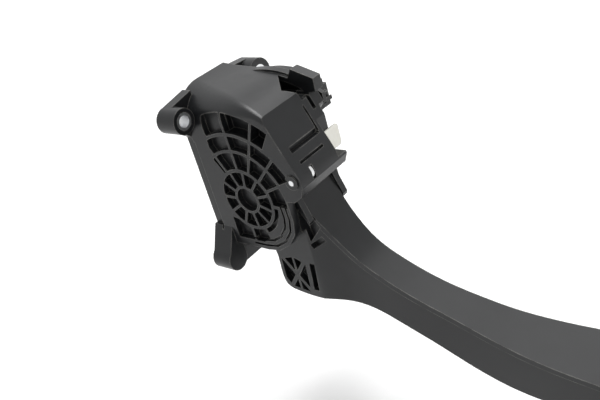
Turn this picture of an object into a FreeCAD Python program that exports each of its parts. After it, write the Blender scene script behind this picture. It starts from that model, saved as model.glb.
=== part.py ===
import FreeCAD, Part
import math
import os

os.makedirs("parts", exist_ok=True)
V = FreeCAD.Vector

# Driving dimensions, mm. The mounting face is x = 0 and the pivot axis runs along y
PIVOT_X = 36.0
SIDE_Y = 24.0
WALL_IN_Y = 19.0
FAR_WALL_Y = 21.0
TOP_R = 60.0
SHELL = 3.0
FLANGE_T = 6.7
RIB_FLOOR = 1.3
RIB_T = 1.6
EAR_R = 7.5
EAR_LEN = 14.5
EAR_Y = 31.0
EAR_Z = 51.0
FAR_EAR_Y = 34.0
FAR_EAR_R = 9.0
CREST = 3.0
LOW_EAR_Z = -42.0
LUG_Y = -27.0
LUG_Z = -43.0
FLANGE_LOW = -54.0
NOSE_END_Y = 16.5
SHOULDER_FRONT = 3.0
SHOULDER_REAR = 22.0
SLEEVE_R = 5.0
SLEEVE_BORE_R = 3.5
SHAFT_R = 5.0
RUN_FIT = 0.05
END_FIT = 0.15
GROOVE_R = 4.3
RING_R = 6.4
RING_T = 0.9
BUSH_R = 7.0
BOSS_R = 9.5
BOSS_IN_Y = 14.3
HUB_R = 14.0
HUB_GAP = 0.4
HUB_END = BOSS_IN_Y - HUB_GAP
HEAD_Y = 15.0
CHEEK_Y = 18.0
PIN_R = 1.6
PIN_COLLAR_R = 5.6
PIN_COLLAR_T = 2.0
PIN_FIT = 0.3
EYELET_R = 4.3
GASKET_T = 1.0
COVER_D = 8.5
COVER_X = -20.5
COVER_R = TOP_R - 2.5
SHROUD_OUT = 2.5
CLIP_T = 1.0
COVER_WALL = 2.0
COVER_SIDE = 2.5
BOARD_GAP = 0.5
BOARD_T = 1.6
SPRING_X = -18.7
SEAT_Z = 8.0
SPRING_LOW = 11.0
SPRING_TOP = 46.0
SEAT_R = 6.8
SPIGOT_R = 2.6
SPIGOT_LEN = 5.0
SCREW_R = 1.5
PAD_R = 3.4
PIN_SIDE = 1.0
NEAR = -SIDE_Y
FLOOR_Y = -WALL_IN_Y - RIB_FLOOR
COVER_Y = FAR_WALL_Y + GASKET_T
COVER_END = COVER_Y + COVER_D


# Shapes drawn in pivot-centred x and z, then extruded along y
def at(x, y, z):
    return V(PIVOT_X + x, y, z)


def on_circle(radius, degrees, y):
    angle = math.radians(degrees)
    return at(radius * math.cos(angle), y, radius * math.sin(angle))


def prism(points, y0, y1):
    corners = [at(x, y0, z) for x, z in points]
    wire = Part.makePolygon(corners + [corners[0]])
    return Part.Face(wire).extrude(V(0, y1 - y0, 0))


def rod(radius, x, z, y0, y1):
    return Part.makeCylinder(radius, y1 - y0, at(x, y0, z), V(0, 1, 0))


def post(radius, x, y, z0, z1):
    return Part.makeCylinder(radius, z1 - z0, at(x, y, z0), V(0, 0, 1))


def peg(radius, y, z, x0, x1):
    return Part.makeCylinder(radius, x1 - x0, V(x0, y, z), V(1, 0, 0))


def block(x0, x1, y0, y1, z0, z1):
    return Part.makeBox(x1 - x0, y1 - y0, z1 - z0, at(x0, y0, z0))


def plan_cut(points, z0, z1):
    corners = [at(x, y, z0) for x, y in points]
    return Part.Face(Part.makePolygon(corners + [corners[0]])).extrude(V(0, 0, z1 - z0))


def ring(r_in, r_out, y0, y1):
    return rod(r_out, 0, 0, y0, y1).cut(rod(r_in, 0, 0, y0, y1))


def sector(r_in, r_out, a0, a1, y0, y1):
    mid = (a0 + a1) / 2
    outer = [on_circle(r_out, a, y0) for a in (a0, mid, a1)]
    inner = [on_circle(r_in, a, y0) for a in (a1, mid, a0)]
    edges = [Part.Arc(*outer).toShape(), Part.makeLine(outer[2], inner[0])]
    edges += [Part.Arc(*inner).toShape(), Part.makeLine(inner[2], outer[0])]
    return Part.Face(Part.Wire(edges)).extrude(V(0, y1 - y0, 0))


def spoke(r_in, r_out, degrees, width, y0, y1):
    body = block(r_in, r_out, y0, y1, -width / 2, width / 2)
    body.rotate(at(0, y0, 0), V(0, 1, 0), -degrees)
    return body


def arc_face(points, a0, a1, radius, y):
    first, middle, last = [on_circle(radius, a, y) for a in (a0, (a0 + a1) / 2, a1)]
    path = Part.makePolygon([last] + [at(x, y, z) for x, z in points] + [first])
    return Part.Face(Part.Wire([Part.Arc(first, middle, last).toShape()] + path.Edges))


def spline(points):
    line = Part.BSplineCurve()
    line.interpolate(points)
    return line.toShape()


def shell_face(points, rear_x, radius, y):
    crown = [on_circle(radius, FOLD, y), on_circle(radius, 75, y), on_circle(radius, 90, y)]
    crown += [at(rear_x / 2, y, radius + CREST / 3), at(rear_x, y, radius + CREST)]
    path = Part.makePolygon([crown[-1]] + [at(x, y, z) for x, z in points] + [crown[0]])
    return Part.Face(Part.Wire([spline(crown)] + path.Edges))


def crown_edge(solid, y, height):
    boxes = [(edge, edge.BoundBox) for edge in solid.Edges]
    level = [(edge, box) for edge, box in boxes if abs(box.YMax - y) + abs(box.YMin - y) < 0.01]
    return [edge for edge, box in level if box.ZMax > height and box.XLength > 20]


def one_solid(shape):
    return max(shape.Solids, key=lambda s: s.Volume)


# Side outline of the housing, from the rear round the foot and nose to the front fold
REAR_X = -PIVOT_X
STRIP_X = FLANGE_T - PIVOT_X
NOSE = [(30.6, 3), (36.4, 3.4), (42.5, 7.5), (45, 13), (44.6, 18), (41.5, 25), (38.3, 31.5)]
OUTLINE = [(REAR_X, 40), (STRIP_X, 36), (STRIP_X, -33), (5, -33), (14, -31.8), (23, -26.5), (29.3, -18.5),
           (31.2, -10)] + NOSE
CAVITY = [(-26, -60), (33, -60), (33, 6), (36, 24), (34.6, 31)]
FAR_TRIM = [(60, -60), (31.5, -60), (31.5, 3), (30.5, 12), (30, 18), (31, 24), (27.5, 29), (27.5, 34),
            (33, 40), (36, 46), (36, 70), (60, 70)]
FOLD = 61.0
NOSE_PIN = (38.8, 16.2)
PIN_COLLAR_Y = NEAR + 10.5
NOTCH_Z = 48.0
NOTCH = [(11.5, 14.5), (23, 2.5), (30, 7.5), (45, 7.5), (45, 14.5)]
COVER_FRONT_X = 28.0
COVER = [(COVER_X, -21), (8, -21), (17, -12), (20, 0), (20, 28), (22, 34), (COVER_FRONT_X, 37)]
COVER_FOLD = math.degrees(math.acos(COVER_FRONT_X / COVER_R))
COVER_REAR = math.degrees(math.acos(COVER_X / COVER_R))
SCREWS = [(-16, -16), (-16, COVER_R - 8.5), (4, COVER_R - 7), (15.5, 26)]

body = shell_face(OUTLINE, REAR_X, TOP_R, NEAR).extrude(V(0, FAR_WALL_Y - NEAR, 0))
body = body.makeFillet(SHOULDER_FRONT, SHOULDER_REAR, crown_edge(body, NEAR, TOP_R - 1))
inside = shell_face(CAVITY, -26, TOP_R - SHELL, -WALL_IN_Y).extrude(V(0, 2 * WALL_IN_Y, 0))
inner_edge = crown_edge(inside, -WALL_IN_Y, TOP_R - SHELL - 1)
inside = inside.makeFillet(SHOULDER_FRONT - 2, SHOULDER_REAR - 6, inner_edge)
body = body.cut(inside)

# The nose stops short of the far wall: the end is closed there and the far wall trimmed back
nose_end = shell_face(OUTLINE, REAR_X, TOP_R, NOSE_END_Y - 2.5).extrude(V(0, 2.5, 0))
nose_end = nose_end.common(block(22, 60, 0, 30, 3, 50))
body = body.fuse(nose_end).cut(prism(FAR_TRIM, NOSE_END_Y, FAR_WALL_Y + 1))

# Mounting flange, its ears and the webs that carry them, and the solid lug at the near foot
ears = [(-EAR_Y, EAR_Z, EAR_R), (FAR_EAR_Y, EAR_Z, FAR_EAR_R), (EAR_Y, LOW_EAR_Z, EAR_R)]
ear_axes = [(y, z) for y, z, r in ears]
flange = Part.makeBox(FLANGE_T, 2 * (SIDE_Y - 2), TOP_R - 2 - FLANGE_LOW, V(0, 2 - SIDE_Y, FLANGE_LOW))
adds = [flange]
for y, z, r in ears + [(LUG_Y, LUG_Z, EAR_R)]:
    side = math.copysign(SIDE_Y - 3, y)
    down = math.copysign(1, -z)
    corners = [V(0, side, z - 7 * down), V(0, y, z - r * down)]
    corners += [V(0, y, z + r * down), V(0, side, z + 16 * down)]
    web = Part.Face(Part.makePolygon(corners + [corners[0]]))
    adds += [web.extrude(V(FLANGE_T, 0, 0)), peg(r, y, z, 0, EAR_LEN)]
lug_side = [V(0, LUG_Y - EAR_R, LUG_Z), V(0, NEAR, -22), V(0, NEAR + 4, -22), V(0, LUG_Y + EAR_R, LUG_Z)]
adds += [Part.Face(Part.makePolygon(lug_side + [lug_side[0]])).extrude(V(EAR_LEN, 0, 0))]
for y, z, r in ears[:2]:
    side = math.copysign(SIDE_Y - 10, y)
    gusset = [V(0, y, z + r), V(0, side, TOP_R + CREST / 2), V(0, side, z - 8), V(0, y, z)]
    adds += [Part.Face(Part.makePolygon(gusset + [gusset[0]])).extrude(V(FLANGE_T, 0, 0))]

# Inner bosses, spring post, rest-stop bar and screw bosses
adds += [rod(BOSS_R, 0, 0, -WALL_IN_Y - 0.5, -BOSS_IN_Y), rod(BOSS_R, 0, 0, BOSS_IN_Y, WALL_IN_Y + 0.5)]
adds += [post(SEAT_R + 0.4, SPRING_X, 0, SPRING_TOP, TOP_R - 1)]
adds += [post(SPIGOT_R, SPRING_X, 0, SPRING_TOP - SPIGOT_LEN, SPRING_TOP + 1)]
adds += [block(20, 34, -WALL_IN_Y - 0.5, NOSE_END_Y - 1, 3, 8), block(20, 29, 10, WALL_IN_Y + 0.5, 3, 8)]
adds += [sector(41, TOP_R - 5, 54, 92, -WALL_IN_Y - 0.5, -WALL_IN_Y + 4)]
adds += [rod(PAD_R, x, z, 11, WALL_IN_Y + 0.5) for x, z in SCREWS]
# Rim of the far wall, the raised block on it, and the shelf under the notch
rim = sector(TOP_R - 2, TOP_R + 1.2, 62, 100, NOSE_END_Y, FAR_WALL_Y)
sensor_block = prism([(18, 57), (21.5, 62.5), (36, 57.5), (35.6, 50), (30, 49)], 14.5, FAR_WALL_Y)
adds += [rim, sensor_block, block(8, 30.5, 1, WALL_IN_Y + 0.5, NOTCH_Z - 2, NOTCH_Z)]
adds += [rod(EYELET_R, *NOSE_PIN, NEAR - 0.8, NEAR + 1)]
body = body.multiFuse(adds)

# Web of rings and radial ribs on the near side, left standing between the pockets
RADIALS = [-4.5, 23.7, 44.5, 67, 91.5, 120]
OUT = NEAR - 1
pockets = [ring(9.0, 17.6, OUT, FLOOR_Y), rod(7.3, 0, 0, OUT, FLOOR_Y)]
pockets += [sector(19.6, 29.9, -4.5, 126, OUT, FLOOR_Y), sector(31.7, 40.1, 23.7, 126, OUT, FLOOR_Y)]
pockets += [sector(42.0, 53.5, 55, 90, OUT, FLOOR_Y + 3.5), sector(42.0, 53.5, 89, 113, OUT, FLOOR_Y)]
foot = prism([(-17.3, -14), (-17.3, -28), (3, -28), (9, -24.5), (7, -19)], OUT, FLOOR_Y)
pockets += [foot.cut(rod(19.6, 0, 0, OUT, FLOOR_Y)).cut(block(-4.4, -2.8, OUT, FLOOR_Y, -30, -15))]
web = pockets[0].multiFuse(pockets[1:])
ribs = [spoke(19, 56, a, RIB_T, OUT, FLOOR_Y + 4) for a in RADIALS]
ribs += [spoke(7.5, 18.5, 16 + 32.73 * k, RIB_T, OUT, FLOOR_Y) for k in range(11)]
strip = block(-40, -17.3, OUT, FLOOR_Y, -60, 70)
web = web.cut(ribs[0].multiFuse(ribs[1:] + [strip]))


def foot_edge(share):
    edge = [(x * share, z * share) for x, z in OUTLINE[3:9]]
    return prism([(0, 0), (-6 * share, -33 * share)] + edge, OUT, NEAR + 2)


steps = [sector(19.6, 22.3, -66, -8, OUT, FLOOR_Y), block(STRIP_X, STRIP_X + 1, OUT, NEAR + 1.5, -33, 34)]
steps += [foot_edge(0.93).cut(foot_edge(0.89)), foot_edge(0.82).cut(foot_edge(0.78))]
body = body.cut(web.multiFuse(steps))

# Slots of the front face, the notch beside the sensor, and the seats of the smaller pieces
cuts = [block(36, 46, NEAR + 6, 6, 30.2, 33.4), plan_cut(NOTCH, NOTCH_Z, 70)]
cuts += [prism([(39.5, 32), (33.5, 46.5), (31.6, 45.5), (36.6, 31)], 5.4, 6.6)]
cuts += [prism([(27, 51), (37, 51), (40, 41), (31, 41)], 11.2, 13.8), block(40.3, 50, -17, 3, 23.8, 25.2)]
COLLAR_SLOT = (PIN_COLLAR_Y - PIN_FIT, PIN_COLLAR_Y + PIN_COLLAR_T + PIN_FIT)
cuts += [rod(PIN_R, *NOSE_PIN, OUT, NEAR + 16), rod(PIN_COLLAR_R + PIN_FIT, *NOSE_PIN, *COLLAR_SLOT)]
cuts += [block(NOSE_PIN[0], 50, *COLLAR_SLOT, NOSE_PIN[1] - 3, NOSE_PIN[1] + 4.5)]
cuts += [rod(BUSH_R, 0, 0, -WALL_IN_Y - 0.4, -BOSS_IN_Y), rod(BUSH_R, 0, 0, BOSS_IN_Y, FAR_WALL_Y)]
cuts += [post(4.0, 26, 0, 0, 6)]
cuts += [rod(SCREW_R, x, z, 12, FAR_WALL_Y) for x, z in SCREWS]
cuts += [block(36.2, 50, 9, 30, 14.5, 40)]
cuts += [peg(SLEEVE_R, y, z, 0, EAR_LEN) for y, z in ear_axes]
housing = one_solid(body.cut(cuts[0].multiFuse(cuts[1:])))

# Steel sleeves, cross pin, cover clip and rubber rest bumper
sleeves = [peg(SLEEVE_R, y, z, 0, EAR_LEN).cut(peg(SLEEVE_BORE_R, y, z, 0, EAR_LEN)) for y, z in ear_axes]
cross_pin = rod(PIN_R, *NOSE_PIN, NEAR - 0.8, NEAR + 16)
cross_pin = cross_pin.fuse(rod(PIN_COLLAR_R, *NOSE_PIN, PIN_COLLAR_Y, PIN_COLLAR_Y + PIN_COLLAR_T))
cross_pin = cross_pin.removeSplitter()
clip = block(36.2, 36.2 + CLIP_T, 9, FAR_WALL_Y + 2.5, 14.5, 27.5)
bumper = post(4.0, 26, 0, 0, 6).fuse(post(3.0, 26, 0, -1, 0)).removeSplitter()

# Arm: front and back contours in side view, and the half widths of face and core in plan
FRONT = [(31, -1), (37.5, -14), (46, -26), (57, -38), (69, -46), (82, -52.5), (99, -59), (116, -64),
         (133, -68.5), (150, -71.5), (166, -73), (182, -73.5), (200, -74), (232, -77)]
BACK = [(232, -84), (205, -90), (180, -96.5), (160, -99.5), (140, -99.5), (118, -95), (93, -85.5),
        (75, -78.5), (60, -73), (40, -69.5), (20, -69.5), (9, -68.5), (1.5, -66), (-0.8, -56.6), (0, -44)]
TOP_LINE = [(0, -44), (-4, -14), (-9, 0), (-9, 8), (8, 11), (14, -1), (31, -1)]
FACE_PLAN = [(28, HEAD_Y), (36, 13.3), (46, 11.3), (57, 10.5), (80, 10.5), (100, 10.8), (120, 12),
             (140, 14), (165, 16.8), (185, 18.6), (205, 20), (222, 20)]
EDGE_STEP = [0, 0.3, 0.9, 1.7, 2, 2, 2, 2, 2, 2, 2, 2]
CORE_PLAN = [(x, h - s) for (x, h), s in zip(FACE_PLAN, EDGE_STEP)]


def plan_solid(points, x_start):
    z = -120
    left = spline([at(x, -h, z) for x, h in points])
    right = spline([at(x, h, z) for x, h in points])
    x_end, h_end = points[-1]
    tip = Part.Arc(at(x_end, -h_end, z), at(x_end + 10, 0, z), at(x_end, h_end, z)).toShape()
    x_first, h_first = points[0]
    tail = [at(x_first, h_first, z), at(x_start, h_first, z)]
    tail += [at(x_start, -h_first, z), at(x_first, -h_first, z)]
    edges = [left, tip, right] + Part.makePolygon(tail).Edges
    return Part.Face(Part.Wire(Part.__sortEdges__(edges))).extrude(V(0, 0, 160))


def side_solid(front, back, closing, half):
    edges = [spline([at(x, -half, z) for x, z in front]), spline([at(x, -half, z) for x, z in back])]
    edges += [Part.makeLine(at(front[-1][0], -half, front[-1][1]), at(back[0][0], -half, back[0][1]))]
    edges += Part.makePolygon([at(x, -half, z) for x, z in closing]).Edges
    return Part.Face(Part.Wire(Part.__sortEdges__(edges))).extrude(V(0, 2 * half, 0))


core = side_solid(FRONT, BACK, TOP_LINE, 30).common(plan_solid(CORE_PLAN, -40))
under = [(x - 1.5, z - 3.2) for x, z in FRONT]
skin = side_solid(FRONT, under[::-1], [under[0], FRONT[0]], 30)
skin = skin.common(plan_solid(FACE_PLAN, -40))
cheek = [(20, -1), (32.5, 0.5), (37, -13), (33, -24), (24, -16)]
lever = block(-25.3, -5, -7, 7, 0, SEAT_Z)
arm = core.multiFuse([skin, rod(HUB_R, 0, 0, -HUB_END, HUB_END), lever,
                      prism(cheek, -CHEEK_Y, 1 - HEAD_Y), prism(cheek, HEAD_Y - 1, CHEEK_Y)])

# Hollows of the arm: open back with cross ribs, cored head, and the pockets of both side faces
hollow = [(x - 3, z - 6.5) for x, z in FRONT[4:13]] + [(205, -130), (64, -130)]
inner = [(x, h - 3) for x, h in CORE_PLAN]
back_open = prism(hollow, -25, 25).common(plan_solid(inner, 30))
cross_ribs = [block(x, x + 2.5, -25, 25, -130, -40) for x in (88, 112, 136, 160, 184)]
back_open = back_open.cut(Part.makeCompound(cross_ribs))
head_core = prism([(-20, -24), (12, -18), (24, -12), (32, -26), (33, -40), (32, -63), (7, -63), (5, -45)],
                  5.5 - HEAD_Y, HEAD_Y - 5.5)
carve = [back_open, head_core]
fan = [(2, -46), (1.5, -60), (5, -65.5), (19, -67), (20.5, -46), (12, -43)]
for y0, y1 in ((-CHEEK_Y - 1, 4 - HEAD_Y), (HEAD_Y - 4, CHEEK_Y + 1)):
    fan_ribs = [prism([(1, -44), (3, -43), (21, -66), (19, -67.5)], y0, y1)]
    fan_ribs += [prism([(19, -44), (21, -45.5), (5, -67), (3, -65.5)], y0, y1)]
    fan_ribs += [prism([(11, -43), (12.6, -43), (12.6, -68), (11, -68)], y0, y1)]
    carve += [prism(fan, y0, y1).cut(Part.makeCompound(fan_ribs))]
    carve += [prism([(31, -5), (38.3, -19), (30, -29), (28.5, -12)], y0, y1)]
    carve += [prism([(29, -31), (37.5, -25.5), (39.2, -28.3), (30.7, -33.8)], y0, y1)]
    carve += [prism([(24, -45), (27.8, -45), (25.8, -64.5), (22, -64.5)], y0, y1)]
carve += [rod(BOSS_R + 0.6, 0, 0, HUB_END, 20), rod(BOSS_R + 0.6, 0, 0, -20, -HUB_END)]
carve += [rod(SHAFT_R, 0, 0, -20, 20)]
arm = one_solid(arm.cut(carve[0].multiFuse(carve[1:])).removeSplitter())

# Pivot shaft with its bushes, retaining ring, magnet holder and magnet
SHAFT_END = COVER_Y + 1.5
RING_Y = FAR_WALL_Y + END_FIT
shaft = rod(SHAFT_R, 0, 0, -WALL_IN_Y - 0.2, SHAFT_END).cut(ring(GROOVE_R, RING_R, RING_Y, RING_Y + RING_T))
snap_ring = ring(GROOVE_R, RING_R, RING_Y, RING_Y + RING_T)
snap_ring = one_solid(snap_ring.cut(block(-2.5, 2.5, RING_Y, RING_Y + RING_T, -RING_R, 0)))
bushes = [rod(BUSH_R, 0, 0, y0, y1).cut(rod(SHAFT_R + RUN_FIT, 0, 0, y0, y1))
          for y0, y1 in ((-WALL_IN_Y - 0.4, -BOSS_IN_Y), (BOSS_IN_Y, FAR_WALL_Y))]
HOLDER_Y = RING_Y + RING_T + END_FIT
holder = rod(6.5, 0, 0, HOLDER_Y, COVER_Y + 3.6).cut(rod(SHAFT_R, 0, 0, HOLDER_Y, SHAFT_END))
holder = holder.cut(rod(4.0, 0, 0, SHAFT_END, COVER_Y + 4))
magnet = rod(4.0, 0, 0, SHAFT_END, COVER_Y + 3.4)

# Return springs, and the seat they press on
spring_seat = post(SEAT_R, SPRING_X, 0, SEAT_Z, SPRING_LOW)
spring_seat = spring_seat.fuse(post(SPIGOT_R, SPRING_X, 0, SPRING_LOW, SPRING_LOW + SPIGOT_LEN))
spring_seat = spring_seat.removeSplitter()
COIL_STEPS = 16
WIRE_SIDES = [math.radians(45 * k) for k in range(8)]


def coil(wire_r, mean_r, turns):
    rise = SPRING_TOP - SPRING_LOW - 2 * wire_r
    steps = round(COIL_STEPS * turns)
    sections = []
    for k in range(steps + 1):
        angle = 2 * math.pi * k / COIL_STEPS
        out = V(math.cos(angle), math.sin(angle), 0)
        middle = at(SPRING_X, 0, SPRING_LOW + wire_r + rise * k / steps) + out * mean_r
        corners = [middle + out * (wire_r * math.cos(a)) + V(0, 0, wire_r * math.sin(a)) for a in WIRE_SIDES]
        sections.append(Part.makePolygon(corners + [corners[0]]))
    return one_solid(Part.makeLoft(sections, True, True))


outer_spring = coil(1.1, 5.5, 6)
inner_spring = coil(0.7, 3.5, 8)

# Sensor cover with its connector shroud, gasket, board, terminals and screws
cover_face = arc_face(COVER, COVER_FOLD, COVER_REAR, COVER_R, COVER_Y)
cover_in = Part.Face(cover_face.OuterWire.makeOffset2D(-COVER_SIDE))
SOCKET = (18, 26, 36, 45)
SHROUD_WALL = 2.0
SHROUD_END = COVER_END + SHROUD_OUT
tower = block(SOCKET[0] - SHROUD_WALL, SOCKET[1] + SHROUD_WALL, COVER_Y, SHROUD_END,
              SOCKET[2] - SHROUD_WALL, SOCKET[3] + SHROUD_WALL)
room = cover_in.extrude(V(0, COVER_D - COVER_WALL, 0)).cut(tower)
pads = [rod(PAD_R, x, z, COVER_Y, COVER_END) for x, z in SCREWS]
collar = prism([(24, 34), (33, 40), (33, 45.5), (27.5, 49), (20, 49), (20, 34)], COVER_Y, COVER_Y + 2.5)
hook = [(27.5, 36.5), (32, 38.5), (32, 41), (29.8, 40), (29.8, 43), (27.5, 44)]
latch = prism(hook, COVER_Y + 3, COVER_END)
cover = cover_face.extrude(V(0, COVER_D, 0)).cut(room.cut(Part.makeCompound(pads)))
cover = cover.multiFuse([tower, collar, latch])
pin_spots = [(SOCKET[0] + 2.5 + dx, SOCKET[2] + 1.5 + dz) for dx in (0, 3) for dz in (0, 3, 6)]
half = PIN_SIDE / 2
PIN_END = COVER_Y + 6.5
terminals = [block(x - half, x + half, COVER_Y, PIN_END, z - half, z + half) for x, z in pin_spots]
cover_cuts = [block(SOCKET[0], SOCKET[1], COVER_Y + 3, SHROUD_END + 1, SOCKET[2], SOCKET[3])]
cover_cuts += terminals + [rod(SCREW_R, x, z, COVER_Y, COVER_END) for x, z in SCREWS]
cover = one_solid(cover.cut(Part.makeCompound(cover_cuts)))
gasket = cover_face.cut(cover_in).extrude(V(0, -GASKET_T, 0))
rings = [rod(PAD_R, x, z, FAR_WALL_Y, COVER_Y) for x, z in SCREWS]
gasket = gasket.multiFuse(rings).cut(Part.makeCompound([rod(SCREW_R, x, z, 0, 40) for x, z in SCREWS]))
gasket = one_solid(gasket)
BOARD_Y = COVER_END - COVER_WALL - BOARD_T
board_face = Part.Face(cover_face.OuterWire.makeOffset2D(-COVER_SIDE - BOARD_GAP))
board = board_face.extrude(V(0, BOARD_T, 0))
board.translate(V(0, BOARD_Y - COVER_Y, 0))
BOARD_TOP = SOCKET[2] - SHROUD_WALL - BOARD_GAP
board = board.common(block(-60, 60, BOARD_Y, BOARD_Y + BOARD_T, -60, BOARD_TOP))
board = one_solid(board.cut(Part.makeCompound([rod(PAD_R + BOARD_GAP, x, z, 0, 40) for x, z in SCREWS])))
shanks = [rod(SCREW_R, x, z, 12.5, COVER_END) for x, z in SCREWS]
heads = [rod(2.8, x, z, COVER_END, COVER_END + 2) for x, z in SCREWS]
screws = [shank.fuse(head).removeSplitter() for shank, head in zip(shanks, heads)]
chip = block(-2.5, 2.5, BOARD_Y - 1.1, BOARD_Y, -2.5, 2.5)

nodes = {
    "housing": housing, "mount_sleeves": Part.makeCompound(sleeves), "cross_pin": cross_pin,
    "cover_clip": clip, "rest_bumper": bumper, "pedal_arm": arm, "pivot_shaft": shaft,
    "retaining_ring": snap_ring, "pivot_bushes": Part.makeCompound(bushes), "magnet_holder": holder,
    "sensor_magnet": magnet, "spring_seat": spring_seat, "outer_spring": outer_spring,
    "inner_spring": inner_spring, "sensor_cover": cover, "sensor_chip": chip, "cover_gasket": gasket,
    "sensor_board": board, "connector_terminals": Part.makeCompound(terminals),
    "cover_screws": Part.makeCompound(screws),
}
for name, shape in nodes.items():
    shape.exportStep("parts/" + name + ".step")
    print(name, len(shape.Solids), shape.isValid(), round(shape.Volume))
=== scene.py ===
# %% [markdown]
# # Accelerator pedal
# The imported CAD part is loaded as a fixed frame. It stays in metres, with the
# mounting face at x = 0, the pivot axis along y and z pointing up the flange.

import math

import bmesh
import bpy
from mathutils import Matrix, Vector


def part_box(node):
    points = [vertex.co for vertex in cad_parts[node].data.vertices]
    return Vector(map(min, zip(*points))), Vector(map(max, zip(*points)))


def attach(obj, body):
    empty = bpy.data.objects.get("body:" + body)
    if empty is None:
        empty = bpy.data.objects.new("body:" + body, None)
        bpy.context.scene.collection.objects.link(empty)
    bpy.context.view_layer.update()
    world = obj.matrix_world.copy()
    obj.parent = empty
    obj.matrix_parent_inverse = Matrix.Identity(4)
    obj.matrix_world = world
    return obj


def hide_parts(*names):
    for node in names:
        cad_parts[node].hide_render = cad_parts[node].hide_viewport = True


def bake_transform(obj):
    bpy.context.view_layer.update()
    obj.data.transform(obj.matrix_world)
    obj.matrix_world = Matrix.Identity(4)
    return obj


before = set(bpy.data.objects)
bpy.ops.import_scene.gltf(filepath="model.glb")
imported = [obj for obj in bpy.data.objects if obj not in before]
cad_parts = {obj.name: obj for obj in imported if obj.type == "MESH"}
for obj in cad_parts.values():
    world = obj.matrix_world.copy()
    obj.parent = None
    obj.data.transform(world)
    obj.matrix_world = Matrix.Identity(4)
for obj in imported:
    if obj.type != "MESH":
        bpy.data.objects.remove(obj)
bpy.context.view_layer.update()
MM = 0.001


# %% [markdown]
# ## Colour and node helpers
# Colours are written as sRGB hex values, the way a picture editor shows them.
# Shaders work in linear light, so one function converts them. A second small
# function adds a shader node with its settings, values and links, which keeps
# each material short enough to read as a recipe. A colour mix node has its two
# colours on sockets 6 and 7 and its result on output 2.

# %% Helpers
COLOUR_A = 6
COLOUR_B = 7
COLOUR_OUT = 2


def linear(hex_code):
    values = [int(hex_code[i:i + 2], 16) / 255 for i in (1, 3, 5)]
    return tuple(v / 12.92 if v <= 0.04045 else ((v + 0.055) / 1.055) ** 2.4 for v in values) + (1.0,)


def add_node(owner, kind, settings=None, values=None, links=None):
    node = owner.node_tree.nodes.new(kind)
    for name, setting in (settings or {}).items():
        setattr(node, name, setting)
    for socket, value in (values or {}).items():
        node.inputs[socket].default_value = value
    for socket, output in (links or {}).items():
        owner.node_tree.links.new(output, node.inputs[socket])
    return node


def new_material(name, hex_code, roughness, metallic=0.0):
    material = bpy.data.materials.new(name)
    material.use_nodes = True
    shader = material.node_tree.nodes["Principled BSDF"]
    shader.inputs["Base Color"].default_value = linear(hex_code)
    shader.inputs["Roughness"].default_value = roughness
    shader.inputs["Metallic"].default_value = metallic
    return material, shader


def per_metre(size_mm):
    return 1.0 / (size_mm * MM)


print("mid grey in linear light:", round(linear("#808080")[0], 3))

# %% [markdown]
# ## Moulded black nylon
# The housing, arm and cover are glass-filled nylon, moulded black. The glass
# fibres near the skin give a faint grey mottling, which is drawn as noise in
# patches of about 9 mm. The same noise drives the gloss, so that the paler
# patches are also a little duller, and no second pattern is needed.

# %% Nylon tone and gloss
NYLON_DARK = "#0d0e0f"
NYLON_LIGHT = "#161719"
NYLON_SMOOTH = 0.27
NYLON_ROUGH = 0.43
NYLON_IOR = 1.53
# Below the usual 0.5, so that the black faces stay as dark as on the object
NYLON_SHINE = 0.32
MOTTLE_MM = 9.0

nylon, nylon_shader = new_material("moulded_black_nylon", NYLON_DARK, NYLON_ROUGH)
nylon_shader.inputs["IOR"].default_value = NYLON_IOR
nylon_shader.inputs["Specular IOR Level"].default_value = NYLON_SHINE
nylon_place = add_node(nylon, "ShaderNodeTexCoord")
mottle = add_node(nylon, "ShaderNodeTexNoise",
                  values={"Scale": per_metre(MOTTLE_MM), "Detail": 4.0, "Roughness": 0.6},
                  links={"Vector": nylon_place.outputs["Object"]})
tone = add_node(nylon, "ShaderNodeMix", {"data_type": "RGBA"},
                {COLOUR_A: linear(NYLON_DARK), COLOUR_B: linear(NYLON_LIGHT)},
                {"Factor": mottle.outputs["Fac"]})
gloss = add_node(nylon, "ShaderNodeMapRange", None,
                 {"To Min": NYLON_SMOOTH, "To Max": NYLON_ROUGH}, {"Value": mottle.outputs["Fac"]})
nylon.node_tree.links.new(gloss.outputs["Result"], nylon_shader.inputs["Roughness"])
print("nylon patches, mm:", MOTTLE_MM)

# %% [markdown]
# Handling rubs the edges paler, and dust settles in the inner corners. Both
# are found from the shape: a bevel node rounds the surface direction near an
# edge, and where that differs from the plain direction, the grey shows. On the
# outer edges the grey is partly painted highlight: it also stands in for the
# light that the rims catch. The mottling makes it patchy. The band is drawn
# 1.2 mm wide, a little more than the real one, so that it shows.

# %% Rubbed edges and dust, partly painted highlight
WEAR_AND_HIGHLIGHT_MM = 1.2
# Pale edge grey: rub wear and dust, and on the outer rims also a painted highlight
WEAR_AND_HIGHLIGHT_GREY = "#6a6965"
# Cosine of the angle between the two directions where the grey starts, and where it is full
PALE_EDGE_STARTS = 0.98
PALE_EDGE_FULL = 0.8
# Mottling values between which the pale edge goes from its least to its most
PATCH_LOW = 0.35
PATCH_HIGH = 0.65
PALE_EDGE_LEAST = 0.1

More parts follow.
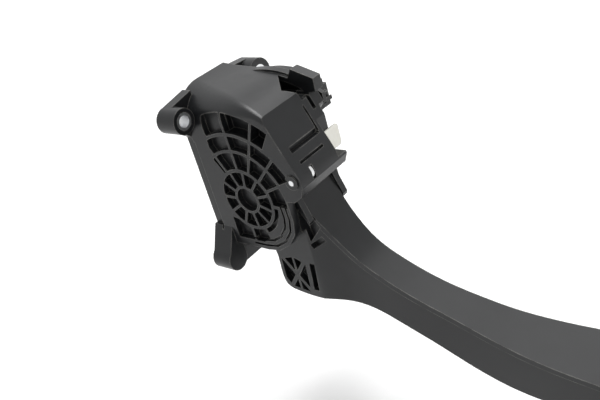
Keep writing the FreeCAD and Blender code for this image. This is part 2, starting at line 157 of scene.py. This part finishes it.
rounded = add_node(nylon, "ShaderNodeBevel", {"samples": 6}, {"Radius": WEAR_AND_HIGHLIGHT_MM * MM})
facing = add_node(nylon, "ShaderNodeNewGeometry")
turned = add_node(nylon, "ShaderNodeVectorMath", {"operation": "DOT_PRODUCT"}, None,
                  {0: rounded.outputs["Normal"], 1: facing.outputs["Normal"]})
near_edge = add_node(nylon, "ShaderNodeMapRange", None,
                     {"From Min": PALE_EDGE_STARTS, "From Max": PALE_EDGE_FULL, "To Min": 0.0, "To Max": 1.0},
                     {"Value": turned.outputs["Value"]})
patchy = add_node(nylon, "ShaderNodeMapRange", None,
                  {"From Min": PATCH_LOW, "From Max": PATCH_HIGH, "To Min": PALE_EDGE_LEAST, "To Max": 1.0},
                  {"Value": mottle.outputs["Fac"]})
wear_and_highlight = add_node(nylon, "ShaderNodeMath", {"operation": "MULTIPLY"}, None,
               {0: near_edge.outputs["Result"], 1: patchy.outputs["Result"]})
# The pale grey goes on the edges: rub and dust, and on the outer rims a painted highlight
worn_and_highlit = add_node(nylon, "ShaderNodeMix", {"data_type": "RGBA"}, {COLOUR_B: linear(WEAR_AND_HIGHLIGHT_GREY)},
                {"Factor": wear_and_highlight.outputs[0], COLOUR_A: tone.outputs[COLOUR_OUT]})
nylon.node_tree.links.new(worn_and_highlit.outputs[COLOUR_OUT], nylon_shader.inputs["Base Color"])
print("wear and highlight band, mm:", WEAR_AND_HIGHLIGHT_MM)

# %% [markdown]
# The tool's fine spark-eroded grain makes the surface satin. The grain on the
# real part is about 0.2 mm, too fine for the picture, so it is drawn at 0.7 mm
# and very shallow.

# %% Nylon grain
GRAIN_MM = 0.7
GRAIN_DEEP_MM = 0.05
GRAIN_STRENGTH = 0.18

grain = add_node(nylon, "ShaderNodeTexNoise",
                 values={"Scale": per_metre(GRAIN_MM), "Detail": 2.0, "Roughness": 0.5},
                 links={"Vector": nylon_place.outputs["Object"]})
relief = add_node(nylon, "ShaderNodeBump", None,
                  {"Strength": GRAIN_STRENGTH, "Distance": GRAIN_DEEP_MM * MM},
                  {"Height": grain.outputs["Fac"]})
nylon.node_tree.links.new(relief.outputs["Normal"], nylon_shader.inputs["Normal"])
print("nylon nodes:", len(nylon.node_tree.nodes))

# %% [markdown]
# ## Metals
# The ear sleeves, cross pin and screws are steel with bright zinc plating,
# which is a little cloudy. The clip's plating is duller and slightly warm. The
# shaft is ground steel, and the springs are drawn wire with a dull grey drawing
# film. The terminals are brass with a pale tin coat. Each is a metal shader
# whose roughness is broken up by noise, in patches of 0.8 to 2 mm, so that its
# reflections look cloudy.

# %% Metals
def cloudy_metal(name, hex_code, smooth, rough, cloud_mm):
    material, shader = new_material(name, hex_code, rough, 1.0)
    place = add_node(material, "ShaderNodeTexCoord")
    cloud = add_node(material, "ShaderNodeTexNoise",
                     values={"Scale": per_metre(cloud_mm), "Detail": 3.0},
                     links={"Vector": place.outputs["Object"]})
    haze = add_node(material, "ShaderNodeMapRange", None, {"To Min": smooth, "To Max": rough},
                    {"Value": cloud.outputs["Fac"]})
    material.node_tree.links.new(haze.outputs["Result"], shader.inputs["Roughness"])
    return material


zinc = cloudy_metal("bright_zinc_plated_steel", "#d9dadb", smooth=0.22, rough=0.42, cloud_mm=1.5)
clip_zinc = cloudy_metal("dull_zinc_plated_strip", "#cbcac3", smooth=0.35, rough=0.55, cloud_mm=2.0)
ground_steel = cloudy_metal("ground_steel", "#b9babc", smooth=0.18, rough=0.3, cloud_mm=0.8)
spring_wire = cloudy_metal("drawn_spring_steel", "#7d7f83", smooth=0.32, rough=0.5, cloud_mm=0.8)
tinned_brass = cloudy_metal("tinned_brass", "#d8d2c2", smooth=0.2, rough=0.35, cloud_mm=0.8)
print("metals:", [m.name for m in (zinc, clip_zinc, ground_steel, spring_wire, tinned_brass)])

# %% [markdown]
# ## Rubber, acetal, laminate, epoxy and ferrite
# Most of these small pieces are hidden once the pedal is put together. They
# still get their own finishes, so that the part looks right when it is opened:
# cloudy rubber, waxy white acetal for the bushes, green glass-epoxy board, a
# black epoxy chip and dark sintered ferrite. Each mixes two close tones by
# noise, because one flat colour would look like paint.

# %% Inner materials
def mottled(name, dark, light, roughness, patch_mm):
    material, shader = new_material(name, dark, roughness)
    place = add_node(material, "ShaderNodeTexCoord")
    patch = add_node(material, "ShaderNodeTexNoise",
                     values={"Scale": per_metre(patch_mm), "Detail": 3.0},
                     links={"Vector": place.outputs["Object"]})
    blend = add_node(material, "ShaderNodeMix", {"data_type": "RGBA"},
                     {COLOUR_A: linear(dark), COLOUR_B: linear(light)},
                     {"Factor": patch.outputs["Fac"]})
    material.node_tree.links.new(blend.outputs[COLOUR_OUT], shader.inputs["Base Color"])
    return material


rubber = mottled("moulded_black_rubber", "#191919", "#242424", roughness=0.75, patch_mm=2.0)
acetal = mottled("turned_white_acetal", "#dcd9cf", "#e6e4dc", roughness=0.45, patch_mm=3.0)
laminate = mottled("green_board_laminate", "#1d5a30", "#246a3a", roughness=0.4, patch_mm=0.6)
epoxy = mottled("moulded_black_epoxy", "#1b1b1c", "#232324", roughness=0.55, patch_mm=0.8)
ferrite = mottled("sintered_ferrite", "#2c2c2d", "#38383a", roughness=0.6, patch_mm=0.5)
print("inner materials:", [m.name for m in (rubber, acetal, laminate, epoxy, ferrite)])

# %% [markdown]
# ## Reading a CAD solid
# A CAD mesh arrives as many flat triangles, and the points where they meet can
# be doubled. Before its edges can be worked on, such points are welded and the
# flat triangles merged into whole faces. The CAD object itself stays as it is:
# only a copy is cleaned.

# %% Clean copies
WELD_MM = 0.004
FLAT_DEG = 0.05
EDGE_STEPS = 2


def welded(node):
    shape = bmesh.new()
    shape.from_mesh(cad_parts[node].data)
    bmesh.ops.remove_doubles(shape, verts=shape.verts, dist=WELD_MM * MM)
    return shape


def whole_faces(node):
    shape = welded(node)
    bmesh.ops.dissolve_limit(shape, angle_limit=math.radians(FLAT_DEG), verts=shape.verts, edges=shape.edges)
    return shape


def new_piece(name, shape, material, crease_deg=None):
    mesh = bpy.data.meshes.new(name)
    shape.to_mesh(mesh)
    shape.free()
    mesh.shade_smooth()
    if crease_deg:
        mesh.set_sharp_from_angle(angle=math.radians(crease_deg))
    mesh.materials.append(material)
    piece = bpy.data.objects.new(name, mesh)
    bpy.context.scene.collection.objects.link(piece)
    print(name, len(mesh.vertices), "points")
    return piece


def round_edges(piece, width_mm):
    edge = piece.modifiers.new("edge_radius", "BEVEL")
    edge.width = width_mm * MM
    edge.segments = EDGE_STEPS
    return edge


print("weld, mm:", WELD_MM)

# %% [markdown]
# ## Moulded edges
# A moulding never has a knife edge: the tool leaves a radius of a few tenths
# of a millimetre, and that radius is what catches the light along every rib.
# The CAD solids keep sharp edges, so the three big mouldings are copied here
# and given a small bevel. Weighted normals then keep the broad faces flat in
# the light. Each copy stands for its CAD node and rides on the same body.

# %% Moulded copies
EDGE_MM = 0.45
CREASE_DEG = 28.0
FLAT_FACE_WEIGHT = 90


def moulded_copy(node, body):
    piece = new_piece(node + "_moulding", whole_faces(node), nylon, CREASE_DEG)
    edge = round_edges(piece, EDGE_MM)
    edge.limit_method = "ANGLE"
    edge.angle_limit = math.radians(CREASE_DEG)
    edge.use_clamp_overlap = True
    even = piece.modifiers.new("even_shading", "WEIGHTED_NORMAL")
    even.mode = "FACE_AREA_WITH_ANGLE"
    even.weight = FLAT_FACE_WEIGHT
    even.keep_sharp = True
    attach(piece, body)
    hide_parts(node)


moulded_copy("housing", "base")
moulded_copy("pedal_arm", "pedal")
moulded_copy("sensor_cover", "base")

# %% [markdown]
# ## Skin over rings
# The springs and the screws are both stacks of rings with the same number of
# points. One helper joins each ring to the next with four-sided faces and
# closes the two ends.

# %% Skin
def skin(shape, rings):
    for ring, following in zip(rings, rings[1:]):
        for k in range(len(ring)):
            n = (k + 1) % len(ring)
            shape.faces.new((ring[k], ring[n], following[n], following[k]))
    shape.faces.new(rings[0])
    shape.faces.new(rings[-1])


print("skin helper ready")

# %% [markdown]
# ## Return springs
# Two coil springs, one inside the other, stand between the housing's roof and
# the seat on the pedal. When the pedal is pressed the seat rises and the coils
# close up. A solid that rides on one body would cut into the other. Each coil is
# swept here as round wire, on the CAD spring's axis.

# %% Return springs
WIRE_SIDES = 12
STEPS_PER_TURN = 40
UPWARD = Vector((0, 0, 1))


def wire_coil(node, wire_radius_mm, coil_radius_mm, turns):
    low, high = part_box(node)
    foot = Vector(((low.x + high.x) / 2, (low.y + high.y) / 2, low.z))
    wire = wire_radius_mm * MM
    steps = STEPS_PER_TURN * turns
    shape = bmesh.new()
    rings = []
    for k in range(steps + 1):
        angle = 2 * math.pi * k / STEPS_PER_TURN
        outward = Vector((math.cos(angle), math.sin(angle), 0))
        height = wire + (high.z - low.z - 2 * wire) * k / steps
        middle = foot + UPWARD * height + outward * coil_radius_mm * MM
        sides = [2 * math.pi * j / WIRE_SIDES for j in range(WIRE_SIDES)]
        rings.append([shape.verts.new(middle + (outward * math.cos(s) + UPWARD * math.sin(s)) * wire)
                      for s in sides])
    skin(shape, rings)
    bmesh.ops.recalc_face_normals(shape, faces=shape.faces)
    piece = new_piece(node + "_coil", shape, spring_wire)
    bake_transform(piece)
    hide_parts(node)


wire_coil("outer_spring", wire_radius_mm=1.1, coil_radius_mm=5.5, turns=6)
wire_coil("inner_spring", wire_radius_mm=0.7, coil_radius_mm=3.5, turns=8)

# %% [markdown]
# ## Cover screws
# Four thread-forming screws hold the sensor cover. Their places are read from
# the CAD screws, which share one mesh: points that are joined by edges belong
# to the same screw.

# %% Find the screws
def separate_solids(node):
    shape = welded(node)
    seen = set()
    groups = []
    for first in shape.verts:
        if first in seen:
            continue
        seen.add(first)
        group = [first]
        for point in group:
            for edge in point.link_edges:
                other = edge.other_vert(point)
                if other not in seen:
                    seen.add(other)
                    group.append(other)
        groups.append([point.co.copy() for point in group])
    shape.free()
    return groups


screw_points = separate_solids("cover_screws")
print("screws found:", len(screw_points))

# %% [markdown]
# The CAD screws are plain pins with heads. A real head has a rounded rim and a
# six-lobe drive, which is what the eye looks for, so each screw is turned as a
# stack of rings from the point to the floor of the drive. Each ring has a
# radius and a height above the underside of the head, in millimetres.

# %% Turn the screws
RING_POINTS = 48
HEAD_TALL_MM = 2.0
SCREW_RINGS = [
    ("shank", 1.5, 0.0), ("head", 1.5, 0.0), ("head", 2.8, 0.0), ("head", 2.8, 1.2), ("head", 2.62, 1.65),
    ("head", 2.25, 1.92), ("head", 1.75, 2.0), ("drive", 1.3, 2.0), ("drive", 1.22, 0.9),
]
LOBES = 6
LOBE_MM = 0.24
SCREW_CREASE_DEG = 40.0


def turned_screw(shape, points):
    low = [min(p[i] for p in points) for i in range(3)]
    high = [max(p[i] for p in points) for i in range(3)]
    middle_x = (low[0] + high[0]) / 2
    middle_z = (low[2] + high[2]) / 2
    under_head = high[1] - HEAD_TALL_MM * MM
    rings = []
    for part, radius, rise in SCREW_RINGS:
        y = low[1] if part == "shank" else under_head + rise * MM
        ring = []
        for k in range(RING_POINTS):
            angle = 2 * math.pi * k / RING_POINTS
            reach = radius + (LOBE_MM * math.cos(LOBES * angle) if part == "drive" else 0.0)
            ring.append(shape.verts.new((middle_x + reach * MM * math.cos(angle), y,
                                         middle_z + reach * MM * math.sin(angle))))
        rings.append(ring)
    skin(shape, rings)


screw_shape = bmesh.new()
for points in screw_points:
    turned_screw(screw_shape, points)
bmesh.ops.recalc_face_normals(screw_shape, faces=screw_shape.faces)
screws = new_piece("cover_screws_turned", screw_shape, zinc, SCREW_CREASE_DEG)
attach(screws, "base")
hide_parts("cover_screws")

# %% [markdown]
# ## Cover clip
# The pale clip at the edge of the front panel is a strip of plated steel with
# rounded corners and a shallow pressed panel. The CAD solid gives its place
# and size. The corners are rounded with a bevel along the thin edges, and the
# panel is an inset of the two broad faces.

# %% Cover clip
CORNER_MM = 2.2
CORNER_STEPS = 6
ROUND_PROFILE = 0.5
PANEL_EDGE_MM = 0.9
PANEL_DEEP_MM = 0.2
CLIP_EDGE_MM = 0.12
ALONG_X = 0.99

strip = whole_faces("cover_clip")
thin = [e for e in strip.edges if abs((e.verts[1].co - e.verts[0].co).normalized().x) > ALONG_X]
bmesh.ops.bevel(strip, geom=thin, offset=CORNER_MM * MM, segments=CORNER_STEPS, profile=ROUND_PROFILE,
                affect="EDGES")
strip.normal_update()
broad = [f for f in strip.faces if abs(f.normal.x) > ALONG_X]
bmesh.ops.inset_individual(strip, faces=broad, thickness=PANEL_EDGE_MM * MM, depth=-PANEL_DEEP_MM * MM)
clip = new_piece("cover_clip_strip", strip, clip_zinc, CREASE_DEG)
round_edges(clip, CLIP_EDGE_MM)
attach(clip, "base")
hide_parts("cover_clip")

# %% [markdown]
# ## Finishes of the CAD pieces that stay
# The other solids already have their true shape, so they only take a finish.
# Each loses the material that it was loaded with and gets the one that its
# real piece is made of. The magnet holder and the spring seat are moulded from
# the same black nylon as the housing.

# %% Assign finishes
FINISHES = {
    "mount_sleeves": zinc, "cross_pin": zinc,
    "pivot_shaft": ground_steel, "retaining_ring": spring_wire, "connector_terminals": tinned_brass,
    "rest_bumper": rubber, "cover_gasket": rubber, "pivot_bushes": acetal, "sensor_board": laminate,
    "sensor_chip": epoxy, "sensor_magnet": ferrite, "magnet_holder": nylon, "spring_seat": nylon,
}
for node, material in FINISHES.items():
    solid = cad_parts[node]
    solid.data.materials.clear()
    solid.data.materials.append(material)
print("finished nodes:", len(FINISHES))

# %% [markdown]
# ## Camera
# The camera stands in front of the pedal, on the ribbed side and a little
# above, about 0.44 m from the pivot. Its three axes were found by fitting the
# circles of the ribbed web, so they are written as the right, up and back
# directions of the camera.

# %% Camera
EYE = Vector((327.6, -263.8, 188.8)) * MM
RIGHT = Vector((0.7582, 0.6026, -0.2492))
UP = Vector((-0.1283, 0.5126, 0.8490))
LENS_MM = 45.0
SENSOR_MM = 36.0

back = RIGHT.cross(UP).normalized()
up = back.cross(RIGHT).normalized()
turn = Matrix((RIGHT.normalized(), up, back)).transposed().to_4x4()
lens = bpy.data.cameras.new("camera")
lens.sensor_width = SENSOR_MM
lens.lens = LENS_MM
lens.clip_start = 0.01
camera = bpy.data.objects.new("camera", lens)
camera.matrix_world = Matrix.Translation(EYE) @ turn
bpy.context.scene.collection.objects.link(camera)
bpy.context.scene.camera = camera
print("camera at, m:", [round(v, 3) for v in EYE])

# %% [markdown]
# ## White surroundings
# The background should look white to the camera and in mirror-like surfaces,
# without lighting the part more. A light path node tells which kind of ray is
# asking: camera, glossy and transmission rays see white, all others get only a
# low even sky.

# %% Sky
SKY_LIGHT = 0.3
SKY_SEEN = 1.0
WHITE = (1, 1, 1, 1)


def seen_ray(owner):
    ray = add_node(owner, "ShaderNodeLightPath")
    mirrored = add_node(owner, "ShaderNodeMath", {"operation": "MAXIMUM"}, None,
                        {0: ray.outputs["Is Camera Ray"], 1: ray.outputs["Is Glossy Ray"]})
    return add_node(owner, "ShaderNodeMath", {"operation": "MAXIMUM"}, None,
                    {0: mirrored.outputs[0], 1: ray.outputs["Is Transmission Ray"]})


world = bpy.data.worlds.new("studio")
bpy.context.scene.world = world
world.use_nodes = True
sky = world.node_tree.nodes["Background"]
sky.inputs["Color"].default_value = WHITE
sky_level = add_node(world, "ShaderNodeMapRange", None, {"To Min": SKY_LIGHT, "To Max": SKY_SEEN},
                     {"Value": seen_ray(world).outputs[0]})
world.node_tree.links.new(sky_level.outputs["Result"], sky.inputs["Strength"])
print("sky light:", SKY_LIGHT)

# %% [markdown]
# ## Floor
# A floor of white paper lies below the lowest point that the pressed arm can
# reach. Its own glow is low near the part, so that the shadow stays, and rises
# with distance, where the lamps no longer reach.

# %% Floor
FLOOR_Z = -0.172
FLOOR_REACH = 3.0
GLOW_NEAR = 0.1
GLOW_FAR = 0.75
GLOW_STARTS = 0.3
GLOW_FULL = 1.1

square = [(-FLOOR_REACH, -FLOOR_REACH), (FLOOR_REACH, -FLOOR_REACH), (FLOOR_REACH, FLOOR_REACH),
          (-FLOOR_REACH, FLOOR_REACH)]
floor_mesh = bpy.data.meshes.new("floor")
floor_mesh.from_pydata([(x, y, FLOOR_Z) for x, y in square], [], [(0, 1, 2, 3)])
floor = bpy.data.objects.new("floor", floor_mesh)
bpy.context.scene.collection.objects.link(floor)
paper, paper_shader = new_material("white_paper", "#fafafa", 0.9)
paper_place = add_node(paper, "ShaderNodeTexCoord")
distance = add_node(paper, "ShaderNodeVectorMath", {"operation": "LENGTH"}, None,
                    {0: paper_place.outputs["Object"]})
glow = add_node(paper, "ShaderNodeMapRange", None,
                {"From Min": GLOW_STARTS, "From Max": GLOW_FULL, "To Min": GLOW_NEAR, "To Max": GLOW_FAR},
                {"Value": distance.outputs["Value"]})
glow_seen = add_node(paper, "ShaderNodeMath", {"operation": "MULTIPLY"}, None,
                     {0: seen_ray(paper).outputs[0], 1: glow.outputs["Result"]})
paper_shader.inputs["Emission Color"].default_value = WHITE
paper.node_tree.links.new(glow_seen.outputs[0], paper_shader.inputs["Emission Strength"])
floor_mesh.materials.append(paper)
print("floor at, m:", FLOOR_Z)

# %% [markdown]
# ## Lamps
# Three soft area lamps light the part, as on a product table: one above, one
# behind that draws a sheen along the arm, and a weak one in front. All aim at
# a point near the pivot.

# %% Lamps
MIDDLE = Vector((0.05, 0.0, 0.0))


def lamp(name, place, size, watts):
    light = bpy.data.lights.new(name, "AREA")
    light.size = size
    light.energy = watts
    thing = bpy.data.objects.new(name, light)
    thing.location = place
    thing.rotation_euler = (MIDDLE - Vector(place)).to_track_quat("-Z", "Y").to_euler()
    bpy.context.scene.collection.objects.link(thing)
    print("lamp", name, watts, "W")


lamp("key", place=(0.0, 0.1, 0.8), size=0.5, watts=8.5)
lamp("back", place=(0.05, 0.8, 0.55), size=0.8, watts=2.5)
lamp("front", place=(0.8, -0.5, 0.5), size=0.5, watts=1.2)
bpy.context.scene.view_settings.view_transform = "Standard"
